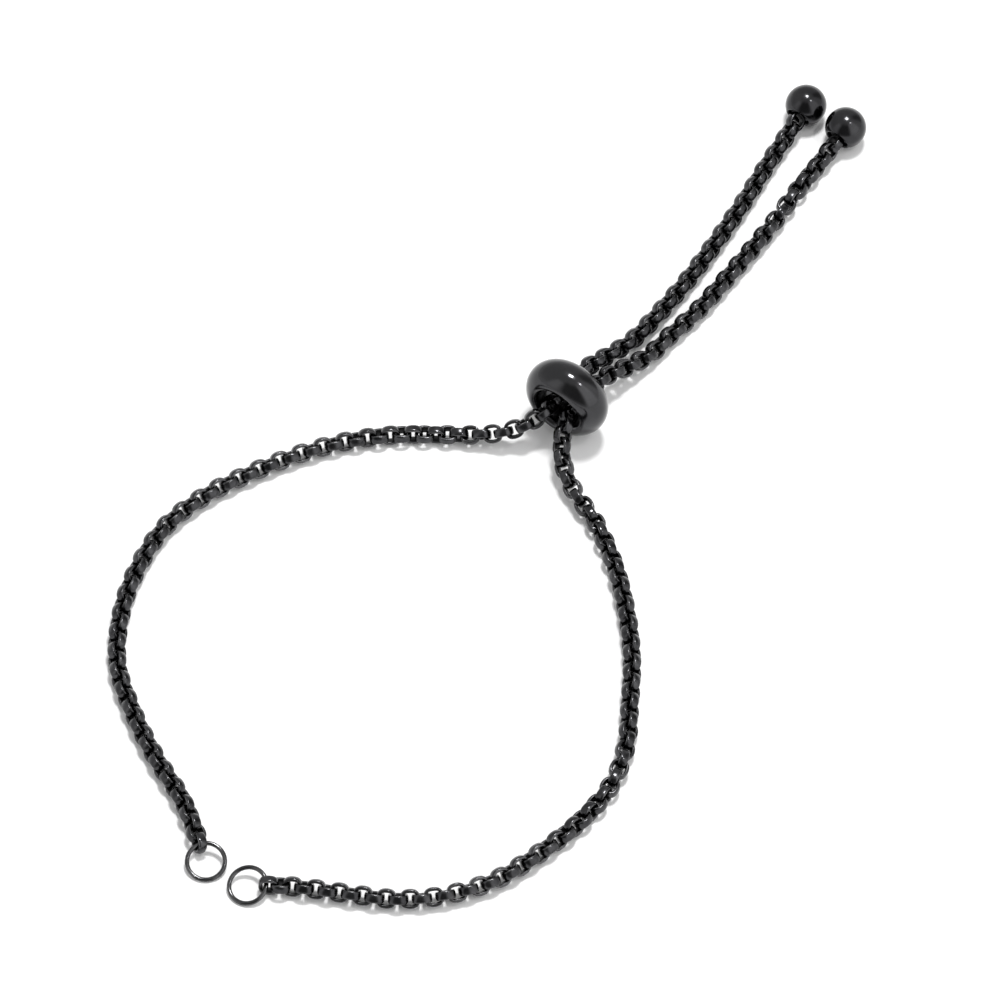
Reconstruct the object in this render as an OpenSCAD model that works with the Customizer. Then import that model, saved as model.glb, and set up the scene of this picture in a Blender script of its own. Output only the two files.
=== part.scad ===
// Bolo slider bracelet: two box chains that share one slider bead, each with a
// jump ring on its loop end and a ball on its free end, lying on a flat surface.
// +Y runs along the bead's bore towards the balls, +Z is up, and z = 0 is the surface.

/* [Chain] */
// Number of links in each chain
chain_links = 113; // [113:1:114]
// Length of a link along the chain
link_l = 1.82; // [1.80:0.01:1.84]
// Height of a link across the chain
link_h = 1.86; // [1.86:0.01:1.90]
// Width of the strip that a link is bent from
strip_w = 0.76; // [0.70:0.01:0.78]
// Thickness of that strip
strip_t = 0.26; // [0.22:0.01:0.27]
// Outer radius of a link's corners
corner_r = 0.55; // [0.45:0.01:0.60]
// Inner radius of a link's corners
inner_corner_r = 0.12; // [0.08:0.01:0.20]

/* [Slider bead] */
// Diameter of the bead
bead_d = 8.4; // [8.3:0.1:8.5]
// Bore that both chains pass through
bore_d = 4.7; // [4.7:0.05:4.8]
// Radius of the bead's rounded rim
rim_r = 2.1; // [2.0:0.05:2.1]
// Radius of the rounded lip at each mouth of the bore
lip_r = 0.5; // [0.5:0.05:0.6]

/* [End balls] */
// Diameter of a ball
ball_d = 4; // [3.8:0.1:4.2]
// Bore in the ball that the last link sits in
socket_d = 2.26; // [2.24:0.02:2.40]
// How far the last link reaches into the ball
seat_depth = 0.9; // [0.6:0.1:1.2]

/* [Jump rings] */
// Diameter of a ring, measured to the middle of its wire
ring_d = 3.45; // [3.3:0.05:3.6]
// Diameter of the ring's wire
wire_d = 0.42; // [0.36:0.02:0.44]

/* [Hidden] */
$fn = 48;

plated_steel = [0.10, 0.10, 0.11];
bead_at = [-0.53, 7.85];
wall_gap = 0.12;
ring_gap = 0.22;
steps = 16;
reach = 0.5;

// Each route runs from the jump ring round the loop, through the bead and along the tail
// to the middle of the ball. Columns: x, y, height of the chain's middle, and roll, the
// angle in degrees by which the first link's ring axis leans from upright towards the
// right-hand side of the run.
ROLL = 3;
LEFT_ROUTE = [
    [ -2.1, -50.9, 1.05, -75],
    [ -6.6, -47.4, 1.00, -50],
    [-11.4, -44.8, 0.96, -45],
    [-16.0, -41.8, 0.95, -45],
    [-20.2, -38.2, 0.95, -45],
    [-23.1, -33.4, 0.95, -45],
    [-24.7, -28.4, 0.97, -45],
    [-25.2, -23.2, 0.97, -40],
    [-24.1, -18.3, 0.98, -40],
    [-22.1, -14.0, 0.97, -40],
    [-19.6,  -9.8, 0.97, -45],
    [-16.6,  -6.0, 1.01, -35],
    [-13.1,  -2.8, 1.03, -20],
    [ -9.3,  -0.3, 1.02,   0],
    [ -6.5,   1.3, 1.25,  25],
    [ -4.2,   2.6, 1.95,  40],
    [-2.45,   4.2, 2.90,  50],
    [-1.58,   6.2, 3.60,  45],
    [-1.47,   8.4, 3.75,  45],
    [-1.45,  10.6, 3.50,  50],
    [-1.25,  13.0, 2.80,  50],
    [ -0.8,  15.6, 1.80,  50],
    [ -0.2,  18.4, 1.15,  50],
    [  0.1,  21.2, 0.98,  50],
    [  0.4,  26.8, 0.97,  50],
    [  0.3,  32.4, 0.97,  50],
    [  0.0,  38.0, 0.97,  50],
    [ -0.5,  43.6, 0.99,  50],
    [ -0.7,  47.4, 1.20,  50],
    [ -0.8,  51.1, 2.00,  50],
];
RIGHT_ROUTE = [
    [ 4.2, -51.1, 1.02,  85],
    [ 7.4, -49.3, 0.98,  50],
    [11.4, -47.5, 0.97,  45],
    [15.4, -45.6, 0.97,  45],
    [18.9, -42.9, 1.00,  35],
    [21.8, -39.1, 0.99,  45],
    [23.6, -34.6, 0.98,  50],
    [24.9, -29.6, 1.02,  65],
    [25.2, -24.8, 1.03,  90],
    [24.0, -20.3, 1.02, 120],
    [21.8, -16.2, 0.99, 130],
    [19.3, -11.9, 0.96, 135],
    [16.2,  -7.9, 0.97, 135],
    [12.6,  -4.2, 1.03, 120],
    [ 8.4,  -1.0, 1.04,  95],
    [ 4.9,   0.8, 1.25,  60],
    [ 2.6,   2.4, 2.00,  50],
    [ 1.2,   4.3, 2.85,  45],
    [0.55,   6.3, 3.55,  45],
    [ 0.5,   8.4, 3.70,  45],
    [0.58,  10.6, 3.50,  45],
    [ 0.8,  13.0, 2.80,  50],
    [ 1.5,  15.4, 1.90,  45],
    [ 2.2,  18.2, 1.15,  45],
    [ 2.5,  20.9, 0.99,  50],
    [ 3.2,  25.4, 0.98,  50],
    [ 3.5,  31.0, 0.98,  50],
    [ 3.7,  37.0, 1.00,  40],
    [ 3.6,  43.0, 1.04, -15],
    [ 3.7,  47.2, 1.20, -35],
    [3.85, 50.85, 2.00, -35],
];

// How each ring hangs in its first link. Columns: how far the wire passes above the
// link's middle, the direction in which the ring rises, its tilt, and the angle round
// the ring from its highest point to the link.
LEFT_RING = [0.1, 123, 16, 19];
RIGHT_RING = [0, 83, 17, -54];

// A smooth curve through a route's rows, as closely spaced samples, with a weighted
// cubic between each two rows that takes its slope from the rows on either side.
function between(a, b, c, d, t) =
    (2 * b + (c - a) * t + (2 * a - 5 * b + 4 * c - d) * t ^ 2
        + (3 * b - a - 3 * c + d) * t ^ 3) / 2;
function with_ends(rows) = let (n = len(rows))
    concat([2 * rows[0] - rows[1]], rows, [2 * rows[n - 1] - rows[n - 2]]);
function curve(rows) = let (r = with_ends(rows), n = len(r) - 3)
    concat(
        [for (i = [0 : n - 1], k = [0 : steps - 1])
            between(r[i], r[i + 1], r[i + 2], r[i + 3], k / steps)],
        [rows[len(rows) - 1]]
    );
function place(sample) = [sample.x, sample.y, sample.z];
function distances(samples) = [
    for (i = 0, s = 0; i < len(samples); i = i + 1,
        s = i < len(samples) ? s + norm(place(samples[i]) - place(samples[i - 1])) : s) s
];

// A run is the curve by distance: one lookup table for each column of the route.
function run(rows) = let (c = curve(rows), d = distances(c))
    [for (column = [0 : ROLL]) [for (i = [0 : len(c) - 1]) [d[i], c[i][column]]]];
function at(run, s) = [for (column = run) lookup(s, column)];
function run_length(run) = run[0][len(run[0]) - 1][0];
function direction(run, s) = let (d = place(at(run, s + reach)) - place(at(run, s - reach)))
    d / norm(d);
function heading(d) = atan2(d.y, d.x);
function slope(d) = asin(d.z);

LEFT_RUN = run(LEFT_ROUTE);
RIGHT_RUN = run(RIGHT_ROUTE);
bore_r = bore_d / 2;
rim_at = bead_d / 2 - rim_r;
lip_at = bore_r + lip_r;
lip_y = sqrt((rim_r - lip_r) ^ 2 - (lip_at - rim_at) ^ 2);
ring_at = strip_t + ring_gap + wire_d / 2;

module rounded_box(l, h, r) {
    square([l - 2 * r, h], center = true);
    square([l, h - 2 * r], center = true);
    for (x = [-1, 1], y = [-1, 1])
        translate([x * (l / 2 - r), y * (h / 2 - r)]) circle(r);
}

// One link: a square ring of flat strip with rounded corners, its hole along z.
module link() {
    linear_extrude(strip_w, center = true)
        difference() {
            rounded_box(link_l, link_h, corner_r);
            rounded_box(link_l - 2 * strip_t, link_h - 2 * strip_t, inner_corner_r);
        }
}

// Links at an even pitch along a run, each turned a quarter turn from the last. The last
// one ends inside the ball.
module chain(run) {
    end = run_length(run) - ball_d / 2 + seat_depth;
    pitch = (end - link_l) / (chain_links - 1);
    for (i = [0 : chain_links - 1]) {
        s = link_l / 2 + i * pitch;
        d = direction(run, s);
        translate(place(at(run, s)))
            rotate([at(run, s)[ROLL] + 90 * (i % 2), -slope(d), heading(d)])
                link();
    }
}

module chain_left() {
    color(plated_steel) chain(LEFT_RUN);
}

module chain_right() {
    color(plated_steel) chain(RIGHT_RUN);
}

// Half of the bead's section: a round rim cut off by the bore's wall, whose two corners
// give way to a rounded lip that meets the wall and the rim without an edge.
module bead_section() {
    past = 2 * rim_r;
    past_x = rim_at + (lip_at - rim_at) * past / lip_y;
    difference() {
        intersection() {
            translate([rim_at, 0]) circle(rim_r, $fn = 96);
            translate([bore_r, -rim_r]) square([rim_r, 2 * rim_r]);
        }
        for (side = [-1, 1])
            polygon([
                [lip_at, side * lip_y], [rim_at, side * lip_y],
                [rim_at, side * past], [past_x, side * past]
            ]);
    }
    for (side = [-1, 1])
        translate([lip_at, side * lip_y]) circle(lip_r);
}

module slider_bead() {
    color(plated_steel)
        translate([bead_at.x, bead_at.y, bead_d / 2])
            rotate([90, 0, 0])
                rotate_extrude($fn = 96) bead_section();
}

// A ball on the middle of the run's end, drilled from the side that the chain comes from.
module end_ball(run) {
    end = run_length(run);
    d = direction(run, end - reach);
    translate(place(at(run, end)))
        rotate([0, -slope(d), heading(d)])
            difference() {
                sphere(d = ball_d, $fn = 96);
                translate([-ball_d / 2 + seat_depth + wall_gap, 0, 0])
                    rotate([0, -90, 0]) cylinder(d = socket_d, h = ball_d / 2);
            }
}

module end_ball_left() {
    color(plated_steel) end_ball(LEFT_RUN);
}

module end_ball_right() {
    color(plated_steel) end_ball(RIGHT_RUN);
}

// A round-wire ring through the first link, resting on the surface at its low side.
module jump_ring(run, hang) {
    translate(place(at(run, ring_at)) + [0, 0, hang[0]])
        rotate([0, -hang[2], hang[1]])
            rotate([0, 0, hang[3]])
                translate([-ring_d / 2, 0, 0])
                    rotate_extrude($fn = 96)
                        translate([ring_d / 2, 0]) circle(d = wire_d);
}

module jump_ring_left() {
    color(plated_steel) jump_ring(LEFT_RUN, LEFT_RING);
}

module jump_ring_right() {
    color(plated_steel) jump_ring(RIGHT_RUN, RIGHT_RING);
}

chain_left();
chain_right();
slider_bead();
end_ball_left();
end_ball_right();
jump_ring_left();
jump_ring_right();
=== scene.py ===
"""The looks of the bolo slider bracelet: black plated box chain, a slider bead and two balls.

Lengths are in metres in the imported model's frame: +Y runs along the bead's bore towards the
balls, +Z is up, and the bracelet lies on z = 0.
"""

import math

import bpy
import numpy as np
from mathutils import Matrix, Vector


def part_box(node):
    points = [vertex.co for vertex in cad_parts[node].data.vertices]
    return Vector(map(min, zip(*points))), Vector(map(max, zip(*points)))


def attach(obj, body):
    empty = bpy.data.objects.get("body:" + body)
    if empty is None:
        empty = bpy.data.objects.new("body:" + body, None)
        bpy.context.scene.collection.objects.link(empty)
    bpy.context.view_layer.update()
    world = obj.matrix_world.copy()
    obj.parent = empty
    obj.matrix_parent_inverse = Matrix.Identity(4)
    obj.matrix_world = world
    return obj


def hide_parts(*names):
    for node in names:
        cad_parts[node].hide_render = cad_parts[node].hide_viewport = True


MM = 0.001

# Camera, as the photograph was taken
VIEW_AZIMUTH = math.radians(33.0)
VIEW_ELEVATION = math.radians(55.03)
VIEW_DISTANCE = 0.7391
VIEW_TARGET = Vector((-0.001, -0.003, 0.0))
SENSOR = 36.0
LENS = 283.9

# Chain: each link is a closed ring of strip with a domed outer face
LINK_LENGTH = 1.82 * MM
LINK_HEIGHT = 1.75 * MM
STRIP_WIDTH = 0.79 * MM
STRIP_THICKNESS = 0.33 * MM
LINK_CORNER = 0.70 * MM
CORNER_STATION = math.radians(17)
STRIP_SQUARENESS = 0.5

# The six points round the strip's section, which of them are its two edges, and which its
# inner face
SECTION_TURN = np.arange(6) * math.pi / 3
ON_EDGE = np.array([True, False, False, True, False, False])
ON_INNER_FACE = np.array([False, False, False, False, True, True])

# Bead, balls and rings
BEAD_RIM = 2.1 * MM
BEAD_LIP = 0.5 * MM
BORE_RADIUS = 2.35 * MM
BALL_RADIUS = 2.0 * MM
SOCKET_RADIUS = 1.13 * MM
SOCKET_DEPTH = 1.0 * MM
SOCKET_LIP = 0.12 * MM
WIRE_RADIUS = 0.21 * MM

# Points along the profiles of the turned pieces, the steps of each turn, and a way that none of
# their axes lies along
RIM_POINTS = 49
LIP_POINTS = 13
BORE_WALL_POINTS = 11
BALL_POINTS = 61
SOCKET_LIP_POINTS = 9
SOCKET_WALL_POINTS = 4
WIRE_POINTS = 25
BEAD_STEPS = 160
BALL_STEPS = 96
RING_STEPS = 120
ASKEW = (0.3, 0.2, 0.9)

# Colour on the strip's edges, partly rubbed plating and partly a painted highlight, how much of it
# shows there, the darker colour on the strip's inner face, which is painted shade, the roughness
# that this face adds, and the strength of every scratch
EDGE_WEAR_AND_HIGHLIGHT = (0.13, 0.13, 0.134)
EDGE_WEAR_AND_HIGHLIGHT_SHARE = 0.5
INNER_FACE_PAINTED_SHADE = (0.03, 0.03, 0.031)
UNPOLISHED_ROUGHNESS = 0.2
SCRATCH_STRENGTH = 0.35

# How far the floor reaches from the middle of the frame, and how far from there the lamps stand
FLOOR_REACH = 3.0
LAMP_DISTANCE = 0.8

# Panels in the room. Columns: where each starts and ends going round, where it starts and ends
# going up, the softness of its edge, all in degrees, and its brightness
ROOM_BRIGHTNESS = 0.75
PANELS = (
    (-200.0, 200.0, -30.0, 9.0, 9.0, 1.0),
    (-78.0, -40.0, 6.0, 52.0, 8.0, 1.25),
    (25.0, 84.0, -5.0, 64.0, 12.0, 1.7),
    (84.0, 108.0, -5.0, 60.0, 10.0, 1.05),
    (112.0, 140.0, -8.0, 50.0, 9.0, 0.32),
    (-48.0, 22.0, 2.0, 66.0, 12.0, 0.22),
)

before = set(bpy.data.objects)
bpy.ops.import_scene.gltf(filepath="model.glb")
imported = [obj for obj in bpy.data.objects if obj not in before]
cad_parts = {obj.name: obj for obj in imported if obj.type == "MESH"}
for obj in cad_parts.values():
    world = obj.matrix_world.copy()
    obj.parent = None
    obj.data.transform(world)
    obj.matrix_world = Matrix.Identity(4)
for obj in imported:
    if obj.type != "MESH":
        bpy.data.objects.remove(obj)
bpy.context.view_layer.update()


def unit(v):
    """Vectors of an array scaled to length one, along the last axis."""
    return v / np.linalg.norm(v, axis=-1, keepdims=True)


def mesh_piece(name, points, faces, smooth=True):
    """A mesh object from an array of points and a list of faces, each a list of corners."""
    mesh = bpy.data.meshes.new(name)
    mesh.from_pydata(points.reshape(-1, 3).tolist(), [], faces)
    mesh.polygons.foreach_set("use_smooth", np.full(len(faces), smooth))
    mesh.update()
    piece = bpy.data.objects.new(name, mesh)
    bpy.context.scene.collection.objects.link(piece)
    return piece


def torus_faces(rows, columns):
    """Quads of a grid of points that closes on itself both ways, row by row."""
    row, column = np.meshgrid(np.arange(rows), np.arange(columns), indexing="ij")
    next_row = (row + 1) % rows
    next_column = (column + 1) % columns
    quads = np.stack(
        [row * columns + column, next_row * columns + column,
         next_row * columns + next_column, row * columns + next_column], axis=-1)
    return quads.reshape(-1, 4)


def superellipse(angle, half_width, half_height, squareness):
    """Point of a rounded rectangle: cosine and sine of the angle, each raised to a power."""
    across = np.sign(np.cos(angle)) * np.abs(np.cos(angle)) ** squareness
    up = np.sign(np.sin(angle)) * np.abs(np.sin(angle)) ** squareness
    return np.stack([half_width * across, half_height * up], axis=-1)


def through(points, axis):
    """Control points of the closed cubic B-spline that passes through the given points: along
    the axis, each point is a sixth of its two neighbours and two thirds of itself, so the
    circulant matrix of those weights is solved. Subdivision then lands on the points."""
    count = points.shape[axis]
    weights = (2 / 3) * np.eye(count) + (1 / 6) * (
        np.roll(np.eye(count), 1, axis=1) + np.roll(np.eye(count), -1, axis=1))
    moved = np.moveaxis(points, axis, 0)
    solved = np.linalg.solve(weights, moved.reshape(count, -1)).reshape(moved.shape)
    return np.moveaxis(solved, 0, axis)


def mark(piece, name, values):
    """A number at each point of a piece, for its material to read."""
    layer = piece.data.attributes.new(name, "FLOAT", "POINT")
    layer.data.foreach_set("value", values.astype(np.float32).reshape(-1))


def link_cage():
    """One link about the origin, its length along x and its hole along z: eight stations, two on
    each corner arc of a rounded rectangle, set in from the arc's ends by CORNER_STATION, and at
    each a six-point superelliptic section of the strip, carried along the way out."""
    half_l = (LINK_LENGTH - STRIP_THICKNESS) / 2
    half_h = (LINK_HEIGHT - STRIP_THICKNESS) / 2
    bend = LINK_CORNER - STRIP_THICKNESS / 2
    turn = np.repeat(np.arange(4) * math.pi / 2 + math.pi / 4, 2)
    way = turn + np.tile([-1, 1], 4) * (math.pi / 4 - CORNER_STATION)
    outward = np.stack([np.cos(way), np.sin(way), 0 * way], axis=-1)
    centre_x = np.sign(np.cos(turn)) * (half_l - bend)
    centre_y = np.sign(np.sin(turn)) * (half_h - bend)
    middle = np.stack([centre_x, centre_y, 0 * turn], axis=-1) + bend * outward
    section = superellipse(
        SECTION_TURN, STRIP_WIDTH / 2, STRIP_THICKNESS / 2, STRIP_SQUARENESS)
    points = (
        middle[:, None, :] + section[None, :, 1, None] * outward[:, None, :]
        + section[None, :, 0, None] * np.array([0.0, 0.0, 1.0]))
    return through(through(points, 0), 1)


def merged_corners(mesh):
    """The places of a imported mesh's corners, each once, and the number of each corner's place."""
    places = np.empty(len(mesh.vertices) * 3)
    mesh.vertices.foreach_get("co", places)
    places, same = np.unique(np.round(places.reshape(-1, 3), 8), axis=0, return_inverse=True)
    return places, same.reshape(-1)


def solids_of(packed):
    """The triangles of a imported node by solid: corners are merged where they coincide, and the
    lowest corner number is passed along the triangles until each solid shares one."""
    mesh = packed.data
    mesh.calc_loop_triangles()
    corner = np.empty(len(mesh.loop_triangles) * 3, int)
    mesh.loop_triangles.foreach_get("vertices", corner)
    places, same = merged_corners(mesh)
    triangles = same[corner].reshape(-1, 3)
    label = np.arange(len(places))
    while True:
        lowest = label[triangles].min(axis=1)
        spread = label.copy()
        np.minimum.at(spread, triangles.reshape(-1), np.repeat(lowest, 3))
        spread = spread[spread]
        if np.array_equal(spread, label):
            break
        label = spread
    solid = np.unique(label[triangles[:, 0]], return_inverse=True)[1].reshape(-1)
    return places[triangles], solid


def link_places(packed, start):
    """Middle and axes of every link of a packed chain, from the end nearest to start. The middle
    is that of the solid's area. The sum of each face's area times its normal times itself is
    least along the hole, and the chain's way there is from the link before to the link after."""
    triangles, solid = solids_of(packed)
    normal = np.cross(triangles[:, 1] - triangles[:, 0], triangles[:, 2] - triangles[:, 0])
    area = np.linalg.norm(normal, axis=1)
    kept = area > 0
    triangles, solid, normal, area = triangles[kept], solid[kept], normal[kept], area[kept]
    count = solid.max() + 1
    spread = normal[:, :, None] * normal[:, None, :] / area[:, None, None]
    total = np.zeros((count, 3, 3))
    np.add.at(total, solid, spread)
    middle = np.zeros((count, 3))
    np.add.at(middle, solid, triangles.mean(axis=1) * area[:, None])
    middle /= np.bincount(solid, area)[:, None]
    order = [int(np.argmin(np.linalg.norm(middle - start, axis=1)))]
    left = set(range(count)) - set(order)
    while left:
        here = middle[order[-1]]
        nearest = min(left, key=lambda i: float(np.sum((middle[i] - here) ** 2)))
        order.append(nearest)
        left.remove(nearest)
    middle, total = middle[order], total[order]
    hole = np.linalg.eigh(total)[1][:, :, 0]
    run = np.gradient(middle, axis=0)
    along = unit(run - np.sum(run * hole, axis=1, keepdims=True) * hole)
    up = np.cross(hole, along)
    return middle, np.stack([along, up, hole], axis=-1)


def box_middle(name):
    """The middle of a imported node's box."""
    low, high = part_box(name)
    return np.array((low + high) / 2)


def chain_piece(side):
    """All the links of one chain as one mesh: the link's cage carried to each link's place, and
    two levels of subdivision to round it. The links' axes are given too."""
    name = "chain_" + side
    middle, axes = link_places(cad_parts[name], box_middle("jump_ring_" + side))
    cage = link_cage()
    stations, ribs = cage.shape[:2]
    points = np.einsum("nij,srj->nsri", axes, cage) + middle[:, None, None, :]
    one = torus_faces(stations, ribs)
    faces = (np.arange(len(middle))[:, None, None] * stations * ribs + one).reshape(-1, 4)
    piece = mesh_piece(name + "_links", points, faces.tolist())
    sections = len(middle) * stations
    mark(piece, "inside", np.tile(ON_INNER_FACE, sections))
    mark(piece, "strip_edge", np.tile(ON_EDGE, sections))
    rounding = piece.modifiers.new("rounding", "SUBSURF")
    rounding.levels = 2
    rounding.render_levels = 2
    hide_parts(name)
    return piece, axes


def turned(name, profile, origin, axis, steps):
    """A turned solid: the profile, a row of (distance from the axis, place along it), is carried
    round the axis in even steps. Where it starts and ends on the axis, one pole closes it."""
    axis = unit(np.asarray(axis, float))
    side = unit(np.cross(axis, ASKEW))
    other = np.cross(axis, side)
    turn = np.arange(steps) * 2 * math.pi / steps
    spoke = np.cos(turn)[:, None] * side + np.sin(turn)[:, None] * other
    poles = profile[0, 0] == 0
    rings = profile[1:-1] if poles else profile
    points = (
        origin + rings[None, :, 0, None] * spoke[:, None, :] + rings[None, :, 1, None] * axis)
    rows = len(rings)
    faces = torus_faces(steps, rows)
    if not poles:
        return mesh_piece(name, points, faces.tolist())
    faces = faces.reshape(steps, rows, 4)[:, :-1].reshape(-1, 4).tolist()
    count = steps * rows
    points = np.vstack(
        [points.reshape(-1, 3), origin + profile[0, 1] * axis, origin + profile[-1, 1] * axis])
    here = np.arange(steps)
    there = (here + 1) % steps
    first = np.stack([here * rows, np.full(steps, count), there * rows], axis=-1)
    last = np.stack(
        [here * rows + rows - 1, there * rows + rows - 1, np.full(steps, count + 1)], axis=-1)
    return mesh_piece(name, points, faces + first.tolist() + last.tolist())


def arc(centre, radius, start, end, count):
    """Points of a circle's arc between two angles in degrees."""
    angle = np.radians(np.linspace(start, end, count))
    return np.stack(
        [centre[0] + radius * np.cos(angle), centre[1] + radius * np.sin(angle)], axis=-1)


def slider_bead_piece():
    """The bead turned about its bore: the round rim, a rounded lip at each mouth and the bore's
    wall, as one closed profile of arcs that meet without an edge."""
    low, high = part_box("slider_bead")
    radius = (high.x - low.x) / 2
    rim_at = radius - BEAD_RIM
    lip_x = BORE_RADIUS + BEAD_LIP
    lip_y = math.sqrt((BEAD_RIM - BEAD_LIP) ** 2 - (lip_x - rim_at) ** 2)
    meet = math.degrees(math.atan2(lip_y, lip_x - rim_at))
    wall_y = np.linspace(lip_y, -lip_y, BORE_WALL_POINTS)[1:-1]
    profile = np.vstack([
        arc((rim_at, 0.0), BEAD_RIM, -meet, meet, RIM_POINTS)[:-1],
        arc((lip_x, lip_y), BEAD_LIP, meet, 180.0, LIP_POINTS),
        np.stack([np.full_like(wall_y, BORE_RADIUS), wall_y], axis=-1),
        arc((lip_x, -lip_y), BEAD_LIP, 180.0, 360.0 - meet, LIP_POINTS)[:-1]])
    middle = box_middle("slider_bead")
    piece = turned("slider_bead_shell", profile, middle, (0.0, 1.0, 0.0), BEAD_STEPS)
    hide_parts("slider_bead")
    return piece


def end_ball_piece(side, chain_way):
    """A ball turned about the chain's way into it: the sphere from its far pole to the socket's
    mouth, a rounded lip, the socket's wall and its floor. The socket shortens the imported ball's
    box on the chain's side, so the middle is measured from the far side."""
    low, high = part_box("end_ball_" + side)
    middle = np.array([(low.x + high.x) / 2, high.y - BALL_RADIUS, (low.z + high.z) / 2])
    lip_reach = BALL_RADIUS - SOCKET_LIP
    mouth = math.asin((SOCKET_RADIUS + SOCKET_LIP) / lip_reach)
    lip = (lip_reach * math.sin(mouth), lip_reach * math.cos(mouth))
    polar = np.linspace(math.pi, mouth, BALL_POINTS)
    sphere = BALL_RADIUS * np.stack([np.sin(polar), np.cos(polar)], axis=-1)
    sphere[0, 0] = 0.0
    rounded = arc(lip, SOCKET_LIP, 90 - math.degrees(mouth), 180.0, SOCKET_LIP_POINTS)[1:]
    floor_at = BALL_RADIUS - SOCKET_DEPTH
    wall_at = np.linspace(lip[1], floor_at, SOCKET_WALL_POINTS)[1:]
    wall = np.stack([np.full_like(wall_at, SOCKET_RADIUS), wall_at], axis=-1)
    base = np.array([[SOCKET_RADIUS / 2, floor_at], [0.0, floor_at]])
    profile = np.vstack([sphere, rounded, wall, base])
    piece = turned("end_ball_" + side + "_shell", profile, middle, -chain_way, BALL_STEPS)
    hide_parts("end_ball_" + side)
    return piece


def jump_ring_piece(side):
    """Round wire bent into a ring: a circle of wire carried round a circle. The ring's plane is
    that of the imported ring, whose corners spread least along the ring's axis."""
    places = merged_corners(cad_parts["jump_ring_" + side].data)[0]
    middle = (places.min(axis=0) + places.max(axis=0)) / 2
    offset = places - middle
    axis = np.linalg.eigh(offset.T @ offset)[1][:, 0]
    outer = np.linalg.norm(offset, axis=1).max()
    profile = arc((outer - WIRE_RADIUS, 0.0), WIRE_RADIUS, 0.0, 360.0, WIRE_POINTS)[:-1]
    piece = turned("jump_ring_" + side + "_wire", profile, middle, axis, RING_STEPS)
    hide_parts("jump_ring_" + side)
    return piece


def node(tree, kind, settings=None, **inputs):
    """A shader node of that kind. Settings are its own properties, and inputs its sockets by
    name, with underscores for spaces: a value, or a socket to link from."""
    made = tree.nodes.new(kind)
    for key, value in (settings or {}).items():
        setattr(made, key, value)
    for key, value in inputs.items():
        numbered = key[0] == "i" and key[1:].isdigit()
        socket = made.inputs[int(key[1:]) if numbered else key.replace("_", " ")]
        if isinstance(value, bpy.types.NodeSocket):
            tree.links.new(value, socket)
        else:
            socket.default_value = value
    return made


def plating_group():
    """The plating's finish: a cloudy mask from broad noise, fine polishing scratches from noise
    stretched along one way, and a roughness that follows both."""
    group = bpy.data.node_groups.new("plated_finish", "ShaderNodeTree")
    for name, start in (
            ("Cloud Scale", 400.0), ("Scratch Scale", 2500.0), ("Smoothest", 0.08),
            ("Dullest", 0.2)):
        socket = group.interface.new_socket(
            name=name, in_out="INPUT", socket_type="NodeSocketFloat")
        socket.default_value = start
    for name in ("Cloud", "Roughness", "Height"):
        group.interface.new_socket(name=name, in_out="OUTPUT", socket_type="NodeSocketFloat")
    given = node(group, "NodeGroupInput")
    result = node(group, "NodeGroupOutput")
    place = node(group, "ShaderNodeTexCoord")
    cloud = node(
        group, "ShaderNodeTexNoise", Vector=place.outputs["Object"],
        Scale=given.outputs["Cloud Scale"], Detail=4.0, Roughness=0.6)
    stretch = node(
        group, "ShaderNodeMapping", Vector=place.outputs["Object"],
        Rotation=(0.4, 0.3, 0.6), Scale=(1.0, 0.12, 1.0))
    scratch = node(
        group, "ShaderNodeTexNoise", Vector=stretch.outputs["Vector"],
        Scale=given.outputs["Scratch Scale"], Detail=3.0, Roughness=0.5)
    cloudy = node(
        group, "ShaderNodeMapRange", {"interpolation_type": "SMOOTHSTEP"},
        Value=cloud.outputs["Fac"], From_Min=0.35, From_Max=0.7)
    both = node(
        group, "ShaderNodeMath", {"operation": "MULTIPLY_ADD"},
        i0=cloudy.outputs["Result"], i1=0.6, i2=scratch.outputs["Fac"])
    rough = node(
        group, "ShaderNodeMapRange", Value=both.outputs[0], From_Min=0.4, From_Max=1.2,
        To_Min=given.outputs["Smoothest"], To_Max=given.outputs["Dullest"])
    group.links.new(cloudy.outputs["Result"], result.inputs["Cloud"])
    group.links.new(rough.outputs["Result"], result.inputs["Roughness"])
    group.links.new(scratch.outputs["Fac"], result.inputs["Height"])
    return group


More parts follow.
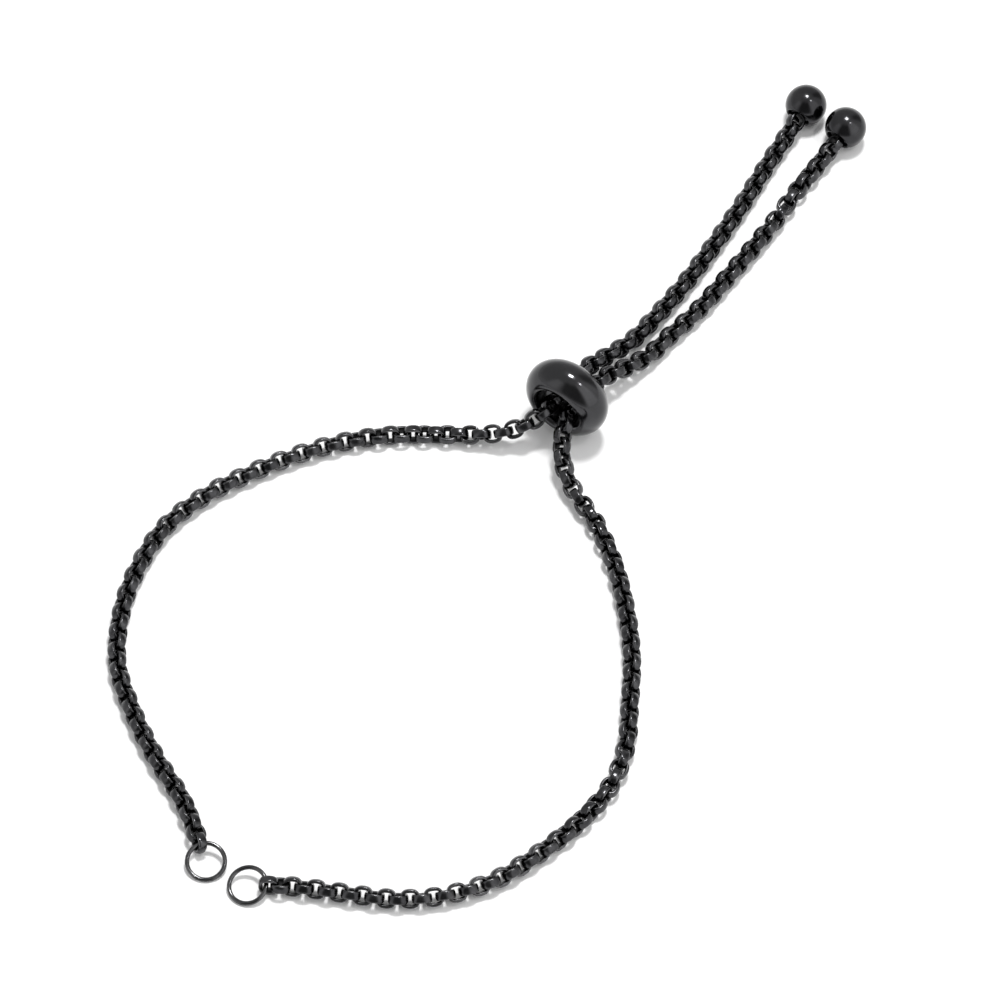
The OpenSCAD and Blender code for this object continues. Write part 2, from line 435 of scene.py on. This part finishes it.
def plated(
        name, finish, dark, light, smoothest, dullest, cloud_scale, scratch_scale, relief,
        strip=False):
    """Black plated steel: a dark metal whose colour and roughness drift with the finish, with
    its fine scratches as a bump of the given height in metres. On a strip, the edges are a little
    brighter, partly as rubbed plating and partly as a painted highlight, and the inner face is
    painted darker as painted shade, and duller, where polishing can't reach."""
    material = bpy.data.materials.new(name)
    material.use_nodes = True
    tree = material.node_tree
    tree.nodes.clear()
    worked = node(tree, "ShaderNodeGroup", {"node_tree": finish})
    worked.inputs["Cloud Scale"].default_value = cloud_scale
    worked.inputs["Scratch Scale"].default_value = scratch_scale
    worked.inputs["Smoothest"].default_value = smoothest
    worked.inputs["Dullest"].default_value = dullest
    colour = node(
        tree, "ShaderNodeMix", {"data_type": "RGBA"}, i0=worked.outputs["Cloud"],
        i6=(*dark, 1.0), i7=(*light, 1.0)).outputs[2]
    dull = worked.outputs["Roughness"]
    if strip:
        edge = node(tree, "ShaderNodeAttribute", {"attribute_name": "strip_edge"}).outputs["Fac"]
        inside = node(tree, "ShaderNodeAttribute", {"attribute_name": "inside"}).outputs["Fac"]
        # The strip's edges are painted lighter: partly rubbed wear, partly a painted highlight.
        edge_wear_and_highlight = node(
            tree, "ShaderNodeMath", {"operation": "MULTIPLY"}, i0=edge, i1=EDGE_WEAR_AND_HIGHLIGHT_SHARE)
        colour = node(
            tree, "ShaderNodeMix", {"data_type": "RGBA"}, i0=edge_wear_and_highlight.outputs[0], i6=colour,
            i7=(*EDGE_WEAR_AND_HIGHLIGHT, 1.0)).outputs[2]
        # The strip's inner face is painted darker as painted shade, and made duller.
        colour = node(
            tree, "ShaderNodeMix", {"data_type": "RGBA"}, i0=inside, i6=colour,
            i7=(*INNER_FACE_PAINTED_SHADE, 1.0)).outputs[2]
        dull = node(
            tree, "ShaderNodeMath", {"operation": "MULTIPLY_ADD"}, i0=inside,
            i1=UNPOLISHED_ROUGHNESS, i2=dull).outputs[0]
    bump = node(
        tree, "ShaderNodeBump", Height=worked.outputs["Height"], Strength=SCRATCH_STRENGTH,
        Distance=relief)
    shader = node(
        tree, "ShaderNodeBsdfPrincipled", Base_Color=colour, Metallic=1.0, Roughness=dull,
        Normal=bump.outputs["Normal"])
    output = node(tree, "ShaderNodeOutputMaterial")
    tree.links.new(shader.outputs["BSDF"], output.inputs["Surface"])
    return material


def lay_floor():
    """The pale surface that the bracelet lies on, far wider than it."""
    points = FLOOR_REACH * np.array([[-1, -1, 0], [1, -1, 0], [1, 1, 0], [-1, 1, 0]])
    piece = mesh_piece("floor", points, [[0, 1, 2, 3]], smooth=False)
    material = bpy.data.materials.new("floor_paper")
    material.use_nodes = True
    shader = material.node_tree.nodes["Principled BSDF"]
    shader.inputs["Base Color"].default_value = (0.9, 0.9, 0.9, 1.0)
    shader.inputs["Roughness"].default_value = 0.9
    shader.inputs["Specular IOR Level"].default_value = 0.1
    piece.data.materials.append(material)


def make_camera():
    """The camera where the photograph was taken from, looking at the middle of its frame."""
    data = bpy.data.cameras.new("camera")
    data.sensor_width = SENSOR
    data.lens = LENS
    data.clip_start = 0.01
    data.clip_end = 20.0
    camera = bpy.data.objects.new("camera", data)
    back = Vector((
        math.cos(VIEW_ELEVATION) * math.sin(VIEW_AZIMUTH),
        -math.cos(VIEW_ELEVATION) * math.cos(VIEW_AZIMUTH),
        math.sin(VIEW_ELEVATION)))
    camera.location = VIEW_TARGET + VIEW_DISTANCE * back
    camera.rotation_mode = "QUATERNION"
    camera.rotation_quaternion = (-back).to_track_quat("-Z", "Y")
    bpy.context.scene.collection.objects.link(camera)
    bpy.context.scene.camera = camera


def lamp(name, toward, size, power):
    """A small square lamp in that direction from the middle of the bracelet, facing it."""
    data = bpy.data.lights.new(name, "AREA")
    data.shape = "SQUARE"
    data.size = size
    data.energy = power
    toward = Vector(toward).normalized()
    piece = bpy.data.objects.new(name, data)
    piece.location = toward * LAMP_DISTANCE
    piece.rotation_mode = "QUATERNION"
    piece.rotation_quaternion = toward.to_track_quat("Z", "Y")
    bpy.context.scene.collection.objects.link(piece)


def band(tree, angle, low, high, edge):
    """One between two angles and zero outside them, with a soft edge on each side. The angles
    and the edge are given in degrees, and the socket's value is in radians."""
    rise = node(
        tree, "ShaderNodeMapRange", {"interpolation_type": "SMOOTHSTEP"}, Value=angle,
        From_Min=math.radians(low - edge), From_Max=math.radians(low + edge))
    fall = node(
        tree, "ShaderNodeMapRange", {"interpolation_type": "SMOOTHSTEP"}, Value=angle,
        From_Min=math.radians(high - edge), From_Max=math.radians(high + edge),
        To_Min=1.0, To_Max=0.0)
    return node(
        tree, "ShaderNodeMath", {"operation": "MULTIPLY"},
        i0=rise.outputs["Result"], i1=fall.outputs["Result"]).outputs[0]


def make_surroundings():
    """The room round the bracelet. Each way out has an angle round from the camera's side, with
    its right positive, and an angle up from level. Soft panels stand in the way at those angles,
    each with its own brightness. The camera itself sees plain white."""
    world = bpy.data.worlds.new("room")
    bpy.context.scene.world = world
    world.use_nodes = True
    tree = world.node_tree
    tree.nodes.clear()
    way = node(tree, "ShaderNodeTexCoord").outputs["Generated"]
    front = (math.sin(VIEW_AZIMUTH), -math.cos(VIEW_AZIMUTH), 0.0)
    right = (math.cos(VIEW_AZIMUTH), math.sin(VIEW_AZIMUTH), 0.0)
    forth = node(tree, "ShaderNodeVectorMath", {"operation": "DOT_PRODUCT"}, i0=way, i1=front)
    aside = node(tree, "ShaderNodeVectorMath", {"operation": "DOT_PRODUCT"}, i0=way, i1=right)
    round_angle = node(
        tree, "ShaderNodeMath", {"operation": "ARCTAN2"},
        i0=aside.outputs["Value"], i1=forth.outputs["Value"]).outputs[0]
    height = node(tree, "ShaderNodeSeparateXYZ", Vector=way)
    up_angle = node(
        tree, "ShaderNodeMath", {"operation": "ARCSINE"}, i0=height.outputs["Z"]).outputs[0]
    sky = ROOM_BRIGHTNESS
    for start, end, low, high, edge, brightness in PANELS:
        across = band(tree, round_angle, start, end, edge)
        along = band(tree, up_angle, low, high, edge)
        shown = node(tree, "ShaderNodeMath", {"operation": "MULTIPLY"}, i0=across, i1=along)
        sky = node(
            tree, "ShaderNodeMix", {"data_type": "FLOAT"},
            i0=shown.outputs[0], i2=sky, i3=brightness).outputs[0]
    ray = node(tree, "ShaderNodeLightPath")
    seen = node(
        tree, "ShaderNodeMix", {"data_type": "FLOAT"}, i0=ray.outputs["Is Camera Ray"], i2=sky,
        i3=1.0)
    light = node(tree, "ShaderNodeBackground", Strength=seen.outputs[0])
    light.inputs["Color"].default_value = (1.0, 1.0, 1.0, 1.0)
    output = node(tree, "ShaderNodeOutputWorld")
    tree.links.new(light.outputs["Background"], output.inputs["Surface"])


make_camera()
lay_floor()
make_surroundings()
lamp("key_lamp", (-0.06, 0.27, 0.95), 0.13, 4.5)
lamp("small_lamp", (0.43, 0.14, 0.89), 0.06, 0.5)

FINISH = plating_group()
BLACK_CHAIN = plated(
    "black_chain_plating", FINISH, (0.036, 0.036, 0.038), (0.066, 0.066, 0.069),
    0.12, 0.28, 900.0, 6000.0, 0.000004, strip=True)
BLACK_BEAD = plated(
    "black_bead_plating", FINISH, (0.045, 0.045, 0.047), (0.06, 0.06, 0.063),
    0.11, 0.19, 250.0, 3000.0, 0.000002)
BLACK_BALL = plated(
    "black_ball_plating", FINISH, (0.034, 0.034, 0.036), (0.048, 0.048, 0.05),
    0.13, 0.22, 350.0, 3000.0, 0.000002)
BLACK_RING = plated(
    "black_ring_plating", FINISH, (0.06, 0.06, 0.062), (0.11, 0.11, 0.112),
    0.10, 0.22, 900.0, 6000.0, 0.000003)


def dress(piece, material):
    """Gives a finished piece its material, and lets it ride on the body."""
    piece.data.materials.append(material)
    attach(piece, "root")


for side in ("left", "right"):
    links, axes = chain_piece(side)
    dress(links, BLACK_CHAIN)
    dress(end_ball_piece(side, axes[-1][:, 0]), BLACK_BALL)
    dress(jump_ring_piece(side), BLACK_RING)
dress(slider_bead_piece(), BLACK_BEAD)

bpy.context.scene.view_settings.view_transform = "Standard"
